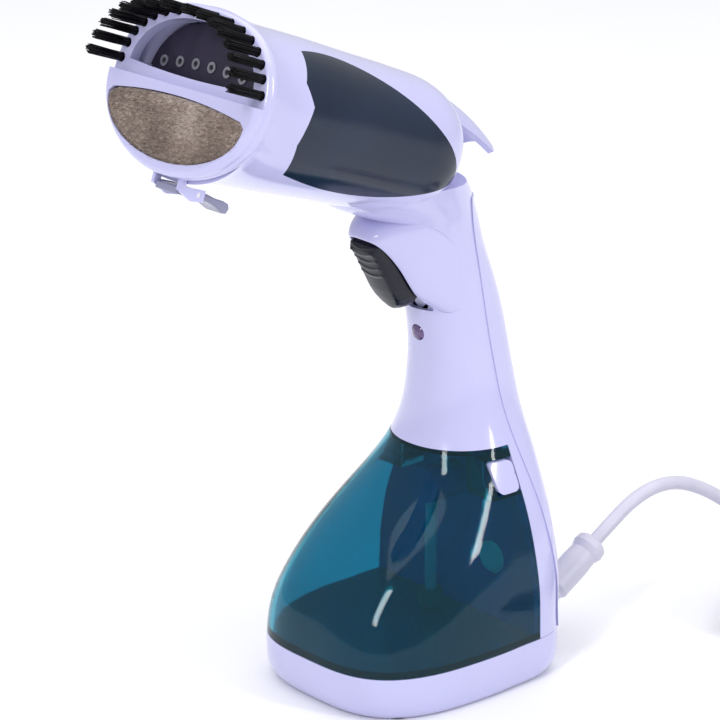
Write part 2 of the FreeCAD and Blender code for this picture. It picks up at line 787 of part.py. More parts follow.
def make_heater_block():
    wide, tall = size("block_wide"), size("block_tall")
    front, long = size("block_front"), size("block_long")
    block = Part.makeBox(wide, long, tall, Vector(-wide / 2, front, -tall / 2))
    block = block.makeFillet(5, [edge for edge in block.Edges if is_along(edge)])
    spigot = rod(5, Vector(0, front - 9.2, 0), Vector(0, front, 0))
    block = block.fuse(spigot).cut(rod(3, Vector(0, front - 10, 0), Vector(0, front + 60, 0)))
    inlet = rod(2.6, Vector(0, front + 60, 4.5), Vector(0, front + long + 1, 4.5))
    block = block.cut(inlet)
    for side in (-1, 1):
        block = block.cut(rod(size("element_radius") + 0.05, Vector(13 * side, front - 1, -2),
                              Vector(13 * side, front + long + 1, -2)))
    block.Placement = HEAD
    return one_solid(block)


def is_along(edge):
    start, end = edge.Vertexes[0].Point, edge.Vertexes[-1].Point
    return abs(start.x - end.x) < 0.01 and abs(start.z - end.z) < 0.01


block_front = size("block_front")
block_long = size("block_long")
block_top = size("block_tall") / 2
feature("heater_block", make_heater_block())


def make_element():
    """A U-shaped sheathed heating element through both bores of the block."""
    reach = block_long + 5
    points = [Vector(-13, block_front + 1, -2), Vector(-13, block_front + reach, -2),
              Vector(13, block_front + reach, -2), Vector(13, block_front + 1, -2)]
    radius = size("element_radius")
    legs = [rod(radius, points[0], points[1]), rod(radius, points[3], points[2])]
    bend = rod(radius, points[1], points[2])
    solid = legs[0].fuse(legs[1]).fuse(bend)
    for corner in points[1:3]:
        solid = solid.fuse(Part.makeSphere(radius, corner))
    solid.Placement = HEAD
    return one_solid(solid)


feature("heating_element", make_element())
turned("thermostat", [(0, 0), (8, 0), (8, 2.5), (6.5, 2.5), (6.5, 7), (0, 7)],
       in_head(0, block_front + 22, block_top + 0.05))
turned("thermal_fuse", [(0, -9), (1.4, -9), (2.1, -8), (2.1, 8), (1.4, 9), (0, 9)],
       in_head(0, block_front + 48, block_top + 2.3, (1, 0, 0), 90))
fuse_clip = box("fuse_clip_block", 10, 6, 1, in_head(-5, block_front + 45, block_top + 4.6))
keep(fuse_clip, "fuse_clip")

plate_depth = size("plate_depth")


def outlet_places():
    """Seven steam outlets on a shallow arch."""
    pitch, top, sag = size("outlet_pitch"), size("outlet_height"), size("outlet_sag")
    return [(step * pitch, top - sag * (step / 3) ** 2) for step in range(-3, 4)]


def make_nozzle_plate():
    thick = size("nozzle_plate_thick")
    oval = superoval(35.4, 27.8, 27.8, 2.2, 2.2)
    face = Part.Face(smooth_wire([Vector(x, plate_depth, z) for x, z in oval]))
    solid = face.extrude(Vector(0, thick, 0))
    for x, z in outlet_places():
        solid = solid.cut(rod(size("outlet_radius"), Vector(x, 0, z), Vector(x, 20, z)))
    solid.Placement = HEAD
    return one_solid(solid)


def make_outlets():
    eyelets = []
    for x, z in outlet_places():
        tube = rod(size("outlet_radius"), Vector(x, plate_depth - 0.5, z),
                   Vector(x, plate_depth + 2.6, z))
        tube = tube.cut(rod(size("outlet_bore"), Vector(x, 0, z), Vector(x, 20, z)))
        tube.Placement = HEAD
        eyelets.append(tube)
    return Part.makeCompound(eyelets)


feature("nozzle_plate", make_nozzle_plate())
feature("nozzle_eyelets", make_outlets())
padded_disc("nozzle_gasket", 10.0, 1.4, in_head(0, plate_depth + 2.65, 0, *BACKWARD), 5.05)


# ---------------------------------------------------------------- brush attachment

LATCH_PIVOT = (11.0, -36.0)


def front_oval(half, low, high, back, power_low=2.0, power_high=2.4):
    oval = superoval(half, low, high, power_low, power_high)
    return smooth_wire([Vector(x, back, z) for x, z in oval])


def tuft_places():
    """Bristle tufts along the arch over the window."""
    wide, high = size("tuft_half_width"), size("tuft_half_height")
    places = []
    for step in range(16):
        angle = math.radians(8 + step * 164 / 15)
        c, s = math.cos(angle), math.sin(angle)
        places.append((wide * math.copysign(abs(c) ** 0.8, c), high * abs(s) ** 0.8))
    return places


def make_brush_frame():
    wide, high = size("ring_half_width"), size("ring_half_height")
    depth, front, pad_front = size("ring_depth"), size("ring_front"), size("pad_front")
    ring = Part.makeLoft([front_oval(wide - 0.6, high - 1.2, high - 0.4, depth),
                          front_oval(wide, high - 0.8, high, depth - 1.6),
                          front_oval(wide - 0.4, high - 1.0, high - 0.3, 0.6),
                          front_oval(wide - 1.8, high - 2.4, high - 1.8, -front)], True, False)
    low_half = Part.makeBox(120, 60, 60, Vector(-60, -30, -58.5))
    carrier = Part.makeLoft([front_oval(wide - 0.9, high - 1.2, high - 1.2, 0.5, 2.0, 2.0),
                             front_oval(wide - 1.2, high - 1.4, high - 1.4, -2.2, 2.0, 2.0),
                             front_oval(wide - 2.8, high - 3.2, high - 3.2, -pad_front, 2.0, 2.0)],
                            True, False).common(low_half)
    lip = Part.makeLoft([front_oval(35.0, 28.0, 28.0, depth - 1, 2.2, 2.2),
                         front_oval(35.0, 28.0, 28.0, depth + 3.4, 2.2, 2.2)], True, False)
    solid = ring.fuse(carrier).fuse(lip)
    solid = solid.cut(window_prism()).cut(pad_recess())
    for x, z in tuft_places():
        solid = solid.cut(rod(size("tuft_radius"), Vector(x, -10, z), Vector(x, 1.6, z)))
    behind = Part.makeLoft([front_oval(32.6, 25.6, 25.6, 1.4, 2.2, 2.2),
                            front_oval(32.6, 25.6, 25.6, 9, 2.2, 2.2)], True, False)
    solid = solid.cut(behind)
    for side in (-1, 1):
        solid = solid.fuse(latch_ear(side))
    solid.Placement = HEAD
    return one_solid(solid)


def latch_ear(side):
    """One of the two ears under the ring that carry the latch pin."""
    outline = [(0.8, -29), (3.9, -29), (3.9, -33.8), (14, -33.8), (14, -38.2), (8, -38.8),
               (0.8, -35.6)]
    corners = [Vector(0, back, up) for back, up in outline]
    ear = Part.Face(Part.Wire(chain(corners + corners[:1]))).extrude(Vector(1.6, 0, 0))
    ear.translate(Vector(6.6 if side > 0 else -8.2, 0, 0))
    return ear.cut(rod(size("latch_pin"), Vector(-9, *LATCH_PIVOT), Vector(9, *LATCH_PIVOT)))


def window_prism():
    """The D-shaped steam window, cut right through."""
    half, foot, top = size("window_half"), size("window_foot"), size("window_head")
    steps = [math.radians(6 + 168 * step / 12) for step in range(13)]
    arch = [Vector((half - 0.2) * math.copysign(abs(math.cos(a)) ** 0.9, math.cos(a)), -20,
                   foot + (top - foot) * math.sin(a) ** 0.9) for a in steps]
    sill = Part.Arc(arch[-1], Vector(0, -20, foot + 1.6), arch[0]).toShape()
    curve = Part.BSplineCurve()
    curve.interpolate(arch)
    return Part.Face(Part.Wire([curve.toShape(), sill])).extrude(Vector(0, 40, 0))


def pad_outline(inset, back):
    """The half-moon of the lint pad, drawn in by inset."""
    half = size("pad_half") - inset
    top, low = size("pad_top") - inset, size("pad_low") + inset
    shoulder = top - 4.2
    right, left = Vector(half, back, shoulder - 0.8), Vector(-half, back, shoulder - 0.8)
    brow = Part.Arc(Vector(-half + 2.4, back, shoulder + 1.2), Vector(0, back, top),
                    Vector(half - 2.4, back, shoulder + 1.2))
    steps = [math.pi + math.pi * step / 10 for step in range(11)]
    belly_points = [Vector(half * math.cos(a), back, shoulder - 0.8 + (shoulder - 0.8 - low)
                           * math.sin(a)) for a in steps]
    belly = Part.BSplineCurve()
    belly.interpolate(belly_points)
    ends = [Part.LineSegment(right, brow.EndPoint), Part.LineSegment(brow.StartPoint, left)]
    return Part.Wire([belly.toShape(), ends[0].toShape(), brow.toShape(), ends[1].toShape()])


def pad_recess():
    return Part.Face(pad_outline(0, -20)).extrude(Vector(0, 20 - 1.6, 0))


def make_pad(inset, back, front):
    solid = Part.Face(pad_outline(inset, back)).extrude(Vector(0, front - back, 0))
    solid.Placement = HEAD
    return solid


feature("brush_frame", make_brush_frame())
feature("pad_backing", make_pad(0.1, -2.4, -1.65))
feature("lint_pad", make_pad(0.3, -size("pad_pile"), -2.45))


def make_tufts():
    tufts = []
    for x, z in tuft_places():
        tuft = rod(size("tuft_radius"), Vector(x, -size("tuft_out"), z), Vector(x, 1.55, z))
        tuft.Placement = HEAD
        tufts.append(tuft)
    return Part.makeCompound(tufts)


feature("bristle_tufts", make_tufts())


def make_latch():
    """The sprung lever under the collar that lets the brush attachment go."""
    body = doc.addObject("PartDesign::Body", "brush_latch")
    sketch = new_sketch(body, "brush_latch_outline", "YZ_Plane")
    profile(sketch, polygon([(1, -34.4), (9, -34.0), (18, -34.6), (26, -37.8), (29, -43), (27, -45),
                             (22, -41.5), (14, -38.2), (4, -37.4), (1, -37.2)]))
    pad(body, sketch, 12, both=True, name="brush_latch_pad")
    eye = new_sketch(body, "brush_latch_eye", "YZ_Plane")
    circle(eye, "Sizes.latch_pin + Sizes.pin_clear", *LATCH_PIVOT)
    pocket(body, eye, 20, both=True, name="brush_latch_bore")
    body.Placement = HEAD
    return keep(body, "brush_latch")


make_latch()
padded_disc("latch_pin", "Sizes.latch_pin", 16.2, in_head(-8.1, *LATCH_PIVOT, (0, 1, 0), 90))


# ---------------------------------------------------------------- trigger and switch

pivot_y, pivot_z = size("pivot_y"), size("pivot_z")


def make_trigger():
    """The curved trigger blade, with a hub on the pivot pin and a nose for the switch."""
    body = doc.addObject("PartDesign::Body", "trigger")
    sketch = new_sketch(body, "trigger_outline", "YZ_Plane")
    heel, toe = (-27.0, 191.6), (-8.4, 159.4)
    front = Part.Arc(Vector(*heel, 0), Vector(-19.6, 175.6, 0), Vector(*toe, 0))
    toe_end = (-1.6, 160.6)
    toe_arc = Part.Arc(Vector(*toe, 0), Vector(-5.0, 158.0, 0), Vector(*toe_end, 0))
    corners = [toe_end, (1.6, 168.0), (2.2, 178.0), (5.7, 180.4), (5.7, 183.4), (2.6, 186.0),
               (2.6, 193.6), (-4.0, 194.2), (-14.0, 193.8), (-25.6, 193.2), heel]
    back = [line(a, b) for a, b in zip(corners, corners[1:])]
    profile(sketch, [front, toe_arc] + back)
    pad(body, sketch, "2 * Sizes.trigger_half", both=True, name="trigger_pad")
    eye = new_sketch(body, "trigger_eye", "YZ_Plane")
    circle(eye, "Sizes.pin_radius + Sizes.pin_clear", pivot_y, pivot_z)
    pocket(body, eye, 20, both=True, name="trigger_bore")
    well = new_sketch(body, "trigger_well", "YZ_Plane")
    profile(well, polygon([(-6.2, 186.2), (7.0, 186.2), (7.0, 196.0), (-6.2, 196.0)]))
    pocket(body, well, 8, both=True, name="trigger_spring_well")
    doc.recompute()
    names = [f"Edge{i + 1}" for i, edge in enumerate(body.Tip.Shape.Edges) if blade_edge(edge)]
    dress(body, "Fillet", names, 1.6, "trigger_round")
    return keep(body, "trigger")


def blade_edge(edge):
    """The two long curved edges of the blade's front face."""
    half = size("trigger_half")
    on_side = all(abs(abs(v.Point.x) - half) < 0.01 for v in edge.Vertexes)
    return on_side and edge.Length > 30 and edge.Curve.TypeId == "Part::GeomCircle"


make_trigger()
padded_disc("trigger_pin", "Sizes.pin_radius", 22, at(-11, pivot_y, pivot_z, (0, 1, 0), 90))


def make_trigger_spring():
    """A torsion spring round the pin, with one leg against the hood."""
    coil = coil_spring(2.3, 0.35, 1.0, 4.6, at(-2.3, pivot_y, pivot_z, (0, 1, 0), 90))
    return one_solid(coil)


feature("trigger_spring", make_trigger_spring())

switch_level = size("plunger_level")
switch_case = box("switch_case", 6.4, 9.6, 18, at(-3.2, 8.6, switch_level - 10))
switch_bore = cylinder("switch_bore", "Sizes.plunger_radius + 0.05", 4,
                       at(0, 8.0, switch_level, *BACKWARD))
keep(joined("microswitch", "Part::Cut", switch_case, switch_bore), "microswitch")
padded_disc("switch_plunger", "Sizes.plunger_radius", 3.9, at(0, 6.3, switch_level, *BACKWARD))


# ---------------------------------------------------------------- lamp, wiring and cord entry

lamp_level = size("lamp_level")
turned("pilot_lens", [(0, 0), (3.44, 0), (3.44, 2.4), (2.6, 3.2), (1.2, 3.7), (0, 3.8)],
       at(0, 9.4, lamp_level, *FORWARD))
turned("pilot_led", [(0, -6), (2.9, -6), (2.9, -5), (2.5, -5), (2.5, -0.6), (1.2, 0), (0, 0)],
       at(0, 9.8, lamp_level, *FORWARD))

terminal_case = box("terminal_case", 24, 9, 11, at(-34, 37, 52))
terminal_slot = box("terminal_slot", 20, 6, 2, at(-32, 38.5, 61.5))
keep(joined("terminal_block", "Part::Cut", terminal_case, terminal_slot), "terminal_block")

hose([(-22, 42, 62.6), (-21, 43, 74), (-15, 43, 96), (-12.6, 38, 118), (-12.2, 26, 148),
      (-11, 20, 172), (-9, 10, 194), (-7, -1, 211), (-4.8, -7.6, 219), (-4, -13, 224)],
     "wire_harness", 1.7, 0)
hose([(14, 40.5, 8.2), (4, 40.5, 8.6), (-8, 41, 14), (-16, 41, 26), (-20, 41, 40),
      (-22, 41.5, 51.9)], "supply_wires", 1.7, 0)
cord_clamp = box("cord_clamp_bar", 14, 6, 4, at(12, 37.6, 10.2))
keep(cord_clamp, "cord_clamp")


def make_relief():
    """Strain relief: a collar behind the wall, a sleeve with a flared end and a cord bore."""
    start, tip = relief_line()
    along = (tip - start).normalize()
    long = (relief_line()[1] - relief_line()[0]).Length
    outline = [(3.05, 0), (4.5, 0), (4.5, 12), (5.0, 12.6), (5.0, 22), (6.3, 24), (6.5, 38),
               (6.1, 44), (7.2, 47), (6.8, long - 1), (5.8, long), (3.05, long)]
    points = [Vector(radius, 0, height) for radius, height in outline]
    face = Part.Face(Part.Wire(chain(points + points[:1])))
    solid = face.revolve(Vector(0, 0, 0), Vector(0, 0, 1), 360)
    solid.Placement = Placement(start, Rotation(Vector(0, 0, 1), along))
    return solid


feature("strain_relief", make_relief())

coil_x, coil_y = size("coil_x"), size("coil_y")
cord_radius = size("cord_radius")
relief_tip = relief_line()[1]
relief_aim = (relief_line()[1] - relief_line()[0]).normalize()
CORD_ROUTE = [
    relief_tip - relief_aim * 18,
    relief_tip + relief_aim * 7,
    Vector(22.4, 117, 53.0),
    Vector(24.4, 136.5, 55.0),
    Vector(28.6, 153.5, 48.0),
    Vector(35.2, 167, 37.0),
    Vector(43.5, 178.5, 27.8),
    Vector(52.4, 187.2, 23.4),
    Vector(61.3, 194.6, 22.2),
]
TAIL_ROUTE = [
    Vector(122.7, 174.5, 3.2),
    Vector(124.2, 164.5, 3.2),
    Vector(125.0, 154.5, 3.4),
    Vector(125.3, 146.0, 4.4),
    Vector(125.4, 138.5, 6.2),
    Vector(125.2, 131.5, 7.8),
    Vector(125.2, 124.0, 8.5),
]


def make_cord():
    solid, length, radii = tube_along(CORD_ROUTE, cord_radius)
    print("cord run", round(length, 1), "radii", [round(radius, 1) for radius in radii])
    print("volume ratio", round(solid.Volume / (math.pi * cord_radius ** 2 * length), 4))
    return solid


def make_coil():
    """The outer shape of the wound cord: a thick flat ring on the ground."""
    mean, band, tall = size("coil_mean"), size("coil_band"), size("coil_tall")
    base = Vector(coil_x, coil_y, 0)
    ring = Part.makeCylinder(mean + band, tall, base)
    return ring.cut(Part.makeCylinder(mean - band, tall + 2, base - Vector(0, 0, 1)))


feature("power_cord", make_cord())
feature("cord_coil", make_coil())
feature("cord_tail", tube_along(TAIL_ROUTE, cord_radius)[0])


def make_tie():
    """A strap round one side of the coil, a little clear of the turns."""
    mean, band, tall = size("coil_mean"), size("coil_band") + 0.3, size("coil_tall") + 0.3
    inside = Part.makeBox(2 * band, 9, tall, Vector(-band, -4.5, 0))
    strap = Part.makeBox(2 * band + 2, 9, tall + 1.0, Vector(-band - 1, -4.5, 0)).cut(inside)
    strap.translate(Vector(mean, 0, 0))
    strap.rotate(Vector(0, 0, 0), Vector(0, 0, 1), -120)
    strap.translate(Vector(coil_x, coil_y, 0))
    return strap


PLUG_LONG = 20.0


def make_plug():
    """A moulded two-pin plug lying flat, its back end meeting the cord."""
    body = doc.addObject("PartDesign::Body", "plug_body")
    sketch = new_sketch(body, "plug_outline", "XZ_Plane")
    profile(sketch, polygon([(-13, 0), (13, 0), (13, 17), (-13, 17)]))
    pad(body, sketch, PLUG_LONG, name="plug_pad", reverse=True)
    neck = new_sketch(body, "plug_neck", "XZ_Plane")
    circle(neck, 5, 0, 8.5)
    pad(body, neck, 12, name="plug_neck_pad")
    doc.recompute()
    names = [f"Edge{i + 1}" for i, edge in enumerate(body.Tip.Shape.Edges) if is_plug_rim(edge)]
    dress(body, "Fillet", names, 4, "plug_round")
    return body


def is_plug_rim(edge):
    """The four long edges of the plug's block."""
    start, end = edge.Vertexes[0].Point, edge.Vertexes[-1].Point
    level = abs(start.x - end.x) < 0.01 and abs(start.z - end.z) < 0.01
    return level and abs(edge.Length - PLUG_LONG) < 0.01


plug_place = at(125.2, 112, 0, (0, 0, 1), 180)
plug = make_plug()
plug.Placement = plug_place
keep(plug, "plug_body")
blades = [slab(x - 0.75, x + 0.75, PLUG_LONG, PLUG_LONG + 16, 5.3, 11.7) for x in (-6.35, 6.35)]
feature("plug_pins", Part.makeCompound(blades), plug_place)
feature("cord_tie", make_tie())


def check_and_write():
    doc.recompute()
    for obj in doc.Objects:
        if "Invalid" in obj.State or "Error" in obj.State:
            raise RuntimeError(f"{obj.Label} did not rebuild: {obj.State}")
    for node in NODES:
        shape = node.Shape
        if shape.isNull() or not shape.isValid() or not shape.Solids:
            raise RuntimeError(f"{node.Label} has no valid solid")
        shape.exportStep(os.path.join("parts", node.Label + ".step"))
    print(len(NODES), "sub-parts written")


check_and_write()
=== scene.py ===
import json
import math
import random

import bmesh
import bpy
from mathutils import Matrix, Vector, noise


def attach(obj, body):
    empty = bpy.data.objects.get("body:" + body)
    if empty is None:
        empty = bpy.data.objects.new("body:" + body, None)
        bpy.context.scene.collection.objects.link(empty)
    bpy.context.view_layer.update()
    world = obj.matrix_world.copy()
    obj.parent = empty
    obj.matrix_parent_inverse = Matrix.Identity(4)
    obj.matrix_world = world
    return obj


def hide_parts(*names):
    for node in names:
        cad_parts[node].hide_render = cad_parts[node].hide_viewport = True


# Handheld garment steamer: finishes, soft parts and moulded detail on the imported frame.
# Lengths are millimetres in the tables below and metres in the scene.

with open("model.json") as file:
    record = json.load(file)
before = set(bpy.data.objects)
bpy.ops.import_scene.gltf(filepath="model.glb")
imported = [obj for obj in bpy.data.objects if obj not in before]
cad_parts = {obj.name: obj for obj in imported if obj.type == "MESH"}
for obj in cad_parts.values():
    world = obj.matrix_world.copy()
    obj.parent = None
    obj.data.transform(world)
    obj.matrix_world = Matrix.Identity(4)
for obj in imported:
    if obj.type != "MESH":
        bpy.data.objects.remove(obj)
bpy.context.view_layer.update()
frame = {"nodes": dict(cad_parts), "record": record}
nodes = frame["nodes"]
MM = 0.001


# ---------------------------------------------------------------- camera

# Direction from the target to the camera, and what it looks at, in metres.
CAMERA_BACK = Vector((0.7027, -0.6327, 0.3256))
CAMERA_TARGET = Vector((0.008, -0.032, 0.145))
CAMERA_DISTANCE = 1.25
LENS, SENSOR = 157.5, 36


def add_camera():
    data = bpy.data.cameras.new("camera")
    data.lens, data.sensor_width = LENS, SENSOR
    camera = bpy.data.objects.new("camera", data)
    camera.location = CAMERA_TARGET + CAMERA_BACK * CAMERA_DISTANCE
    camera.rotation_mode = "QUATERNION"
    camera.rotation_quaternion = (-CAMERA_BACK).to_track_quat("-Z", "Y")
    bpy.context.scene.collection.objects.link(camera)
    bpy.context.scene.camera = camera


add_camera()


# ---------------------------------------------------------------- the cord

CORD_RADIUS = 3.0
AIM = Vector((0, math.cos(math.radians(31)), math.sin(math.radians(31))))
RELIEF_TIP = Vector((22, 54, 16)) + AIM * 42
LEAD = [RELIEF_TIP - AIM * 18, RELIEF_TIP + AIM * 7, Vector((22.4, 117, 53)),
        Vector((24.4, 136.5, 55)), Vector((28.6, 153.5, 48)), Vector((35.2, 167, 37)),
        Vector((43.5, 178.5, 27.8)), Vector((52.4, 187.2, 23.4))]
TAIL = [Vector((124.2, 164.5, 3.2)), Vector((125, 154.5, 3.4)), Vector((125.3, 146, 4.4)),
        Vector((125.4, 138.5, 6.2)), Vector((125.2, 131.5, 7.8)), Vector((125.2, 124, 8.5))]
COIL_CENTRE = Vector((86, 166, 0))
COIL_MEAN = 34.5
# Radius and height of each lie of the coil, from the lead's end down to the plug's.
COIL_LIES = [(37.7, 22.1), (31.3, 22.1), (31.3, 15.8), (37.7, 15.8), (37.7, 9.5), (31.3, 9.5),
             (31.3, 3.2), (37.7, 3.2)]
# Degrees: where the winding starts, how far it goes, and the step between its points.
COIL_START = 131.0
COIL_SWEEP = 7 * 360 + 119.0
COIL_STEP = 18
# Degrees: the winding in each lie, the first lie's lead and the change from lie to lie.
LIE_LENGTH = 331.3
LIE_LEAD = 9.3
LIE_SHIFT = 75.0
# The curve runs inside its control points by this much.
CROWN = 1.0124


def coil_point(swept):
    """A point of the coil after that many degrees of winding, clockwise from above."""
    radius, height = COIL_LIES[0]
    for turn, (before, after) in enumerate(zip(COIL_LIES, COIL_LIES[1:]), 1):
        share = (swept - (LIE_LENGTH * turn - LIE_LEAD)) / LIE_SHIFT + 0.5
        share = min(1, max(0, share))
        share = share * share * (3 - 2 * share)
        radius += (after[0] - before[0]) * share
        height += (after[1] - before[1]) * share
    angle = math.radians(COIL_START - swept)
    reach = radius * CROWN
    return COIL_CENTRE + Vector((math.cos(angle) * reach, math.sin(angle) * reach, height))


def add_cord():
    steps = round(COIL_SWEEP / COIL_STEP)
    coil = [coil_point(COIL_SWEEP * step / steps) for step in range(steps + 1)]
    points = [point * MM for point in LEAD + coil + TAIL]
    data = bpy.data.curves.new("power_lead", "CURVE")
    data.dimensions = "3D"
    spline = data.splines.new("NURBS")
    spline.points.add(len(points) - 1)
    for target, point in zip(spline.points, points):
        target.co = (*point, 1)
        target.radius = CORD_RADIUS * MM
    spline.order_u = 3
    spline.use_endpoint_u = True
    spline.resolution_u = 6
    data.bevel_depth = 1.0  # times each point's radius
    data.bevel_resolution = 5
    data.use_fill_caps = True
    lead = bpy.data.objects.new("power_lead", data)
    bpy.context.scene.collection.objects.link(lead)
    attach(lead, "root")
    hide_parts("power_cord", "cord_coil", "cord_tail")
    return lead, points


lead, lead_points = add_cord()


# ---------------------------------------------------------------- mesh helpers

HEAD_TILT = Matrix.Rotation(math.radians(-20), 4, "X")
HEAD = Matrix.Translation((0, -111 * MM, 266 * MM)) @ HEAD_TILT


def in_head(x, back, up):
    """A point of the head: across, behind the nozzle's face and above the head's axis."""
    return HEAD @ (Vector((x, back, up)) * MM)


def add_mesh(name, vertices, faces, body):
    """A smooth-shaded mesh object with its faces outward, riding on a body."""
    data = bpy.data.meshes.new(name)
    data.from_pydata([tuple(v) for v in vertices], [], faces)
    data.validate()
    made = bmesh.new()
    made.from_mesh(data)
    bmesh.ops.recalc_face_normals(made, faces=made.faces)
    made.to_mesh(data)
    made.free()
    for polygon in data.polygons:
        polygon.use_smooth = True
    piece = bpy.data.objects.new(name, data)
    bpy.context.scene.collection.objects.link(piece)
    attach(piece, body)
    return piece


def loft(rings, wrap=False):
    """A closed skin through rings of equally many points, capped or joined end to end."""
    count = len(rings[0])
    vertices = [point for ring in rings for point in ring]
    faces = []
    spans = len(rings) if wrap else len(rings) - 1
    for row in range(spans):
        low, high = row * count, (row + 1) % len(rings) * count
        for step in range(count):
            after = (step + 1) % count
            faces.append((low + step, low + after, high + after, high + step))
    if not wrap:
        faces.append(tuple(range(count))[::-1])
        faces.append(tuple(range(len(vertices) - count, len(vertices))))
    return vertices, faces


def gather(parts):
    """Several (vertices, faces) as one."""
    vertices, faces = [], []
    for some_vertices, some_faces in parts:
        shift = len(vertices)
        vertices += some_vertices
        faces += [tuple(index + shift for index in face) for face in some_faces]
    return vertices, faces


def subdivide(piece, levels):
    modifier = piece.modifiers.new("subdivision", "SUBSURF")
    modifier.levels = modifier.render_levels = levels


# ---------------------------------------------------------------- materials

def new_material(name):
    material = bpy.data.materials.new(name)
    material.use_nodes = True
    tree = material.node_tree
    return material, tree, tree.nodes["Principled BSDF"]


def place(tree, stretch=(1, 1, 1), turn=(0, 0, 0)):
    coordinates = tree.nodes.new("ShaderNodeTexCoord")
    mapping = tree.nodes.new("ShaderNodeMapping")
    mapping.inputs["Scale"].default_value = stretch
    mapping.inputs["Rotation"].default_value = [math.radians(angle) for angle in turn]
    tree.links.new(coordinates.outputs["Object"], mapping.inputs["Vector"])
    return mapping.outputs["Vector"]


def noise_of(tree, where, scale, detail=3.0, roughness=0.5):
    texture = tree.nodes.new("ShaderNodeTexNoise")
    texture.inputs["Scale"].default_value = scale
    texture.inputs["Detail"].default_value = detail
    texture.inputs["Roughness"].default_value = roughness
    tree.links.new(where, texture.inputs["Vector"])
    return texture.outputs["Fac"]


def ramp(tree, factor, stops):
    node = tree.nodes.new("ShaderNodeValToRGB")
    elements = node.color_ramp.elements
    while len(elements) < len(stops):
        elements.new(0.5)
    for element, (position, colour) in zip(elements, stops):
        element.position = position
        element.color = (*colour, 1)
    tree.links.new(factor, node.inputs["Fac"])
    return node.outputs["Color"]


def spread(tree, factor, low, high):
    node = tree.nodes.new("ShaderNodeMapRange")
    node.inputs["From Min"].default_value = 0.3
    node.inputs["From Max"].default_value = 0.7
    node.inputs["To Min"].default_value = low
    node.inputs["To Max"].default_value = high
    tree.links.new(factor, node.inputs["Value"])
    return node.outputs["Result"]


def bumped(tree, shader, height, strength, distance):
    node = tree.nodes.new("ShaderNodeBump")
    node.inputs["Strength"].default_value = strength
    node.inputs["Distance"].default_value = distance
    tree.links.new(height, node.inputs["Height"])
    tree.links.new(node.outputs["Normal"], shader.inputs["Normal"])


def shaded(colour, factor):
    return tuple(min(1.0, channel * factor) for channel in colour)


def surface(name, colour, rough, swing=0.04, mottle=0.05, mottle_scale=45.0, grain=0.1,
            grain_scale=1800.0, grain_depth=0.00004, stretch=(1, 1, 1), turn=(0, 0, 0),
            **sockets):
    """A moulded or metal surface: uneven colour, uneven gloss and a fine grain."""
    material, tree, shader = new_material(name)
    where = place(tree, stretch, turn)
    blotch = noise_of(tree, where, mottle_scale)
    fine = noise_of(tree, where, grain_scale, 4.0, 0.6)
    stops = [(0.3, shaded(colour, 1 - mottle)), (0.7, shaded(colour, 1 + mottle))]
    tone = ramp(tree, blotch, stops)
    tree.links.new(tone, shader.inputs["Base Color"])
    tree.links.new(spread(tree, blotch, rough, rough + swing), shader.inputs["Roughness"])
    bumped(tree, shader, fine, grain, grain_depth)
    for socket, value in sockets.items():
        shader.inputs[socket.replace("_", " ")].default_value = value
    return material


def pile_material():
    """Short taupe pile with painted shade in slanting streaks, darker where it leans away."""
    material, tree, shader = new_material("pad_pile")
    where = place(tree, (1, 1, 2.6), (0, 38, 0))
    streak = noise_of(tree, where, 460.0, 5.0, 0.72)
    broad = noise_of(tree, place(tree), 42.0, 2.0)
    mixed = tree.nodes.new("ShaderNodeMath")
    mixed.operation = "MULTIPLY_ADD"
    mixed.inputs[1].default_value = 0.62
    tree.links.new(streak, mixed.inputs[0])
    tree.links.new(spread(tree, broad, 0.1, 0.28), mixed.inputs[2])
    # The ramp's dark end is painted shade in the pile's streaks.
    tone = ramp(tree, mixed.outputs["Value"], [
        (0.36, (0.12, 0.085, 0.07)), (0.5, (0.31, 0.24, 0.20)), (0.64, (0.60, 0.51, 0.45))])
    tree.links.new(tone, shader.inputs["Base Color"])
    bumped(tree, shader, streak, 0.5, 0.0004)
    shader.inputs["Roughness"].default_value = 0.9
    shader.inputs["Sheen Weight"].default_value = 0.5
    shader.inputs["Sheen Roughness"].default_value = 0.5
    return material


